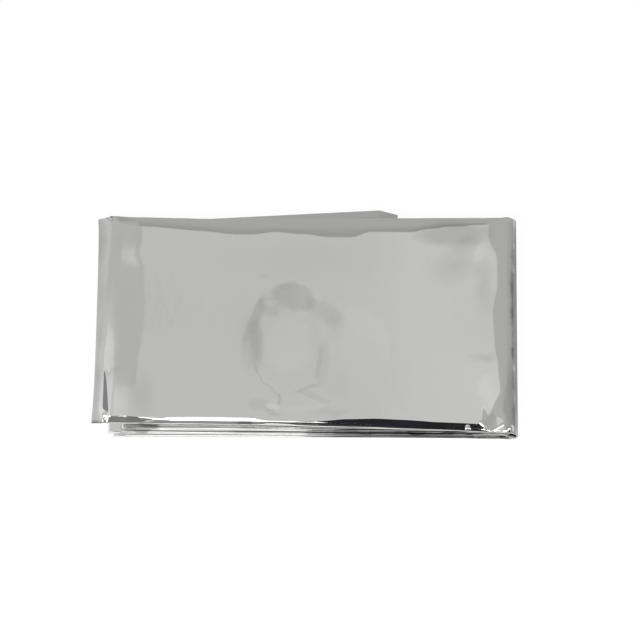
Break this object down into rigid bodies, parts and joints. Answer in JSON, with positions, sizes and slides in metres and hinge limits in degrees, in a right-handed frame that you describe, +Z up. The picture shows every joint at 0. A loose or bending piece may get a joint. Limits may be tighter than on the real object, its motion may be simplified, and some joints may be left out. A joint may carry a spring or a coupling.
{
  "type": "emergency foil blanket",
  "caption": "Silver metallised film blanket folded to and fro into a flat packet, with a puffed top and stepped edges.",
  "frame": {"origin": "centre of the folded packet's footprint, on the surface that it lies on", "axes": "+X along the packet, from the cut ends towards the wrapped end; +Y from the folded near edge to the far edge; +Z up"},
  "size_m": [0.2557, 0.1466, 0.0156],
  "materials": {
    "silver_film": "mirror-bright vacuum-metallised polyester film, thin and lightly creased"
  },
  "bodies": {
    "root": {"foil_blanket": "silver_film"}
  },
  "joints": []
}
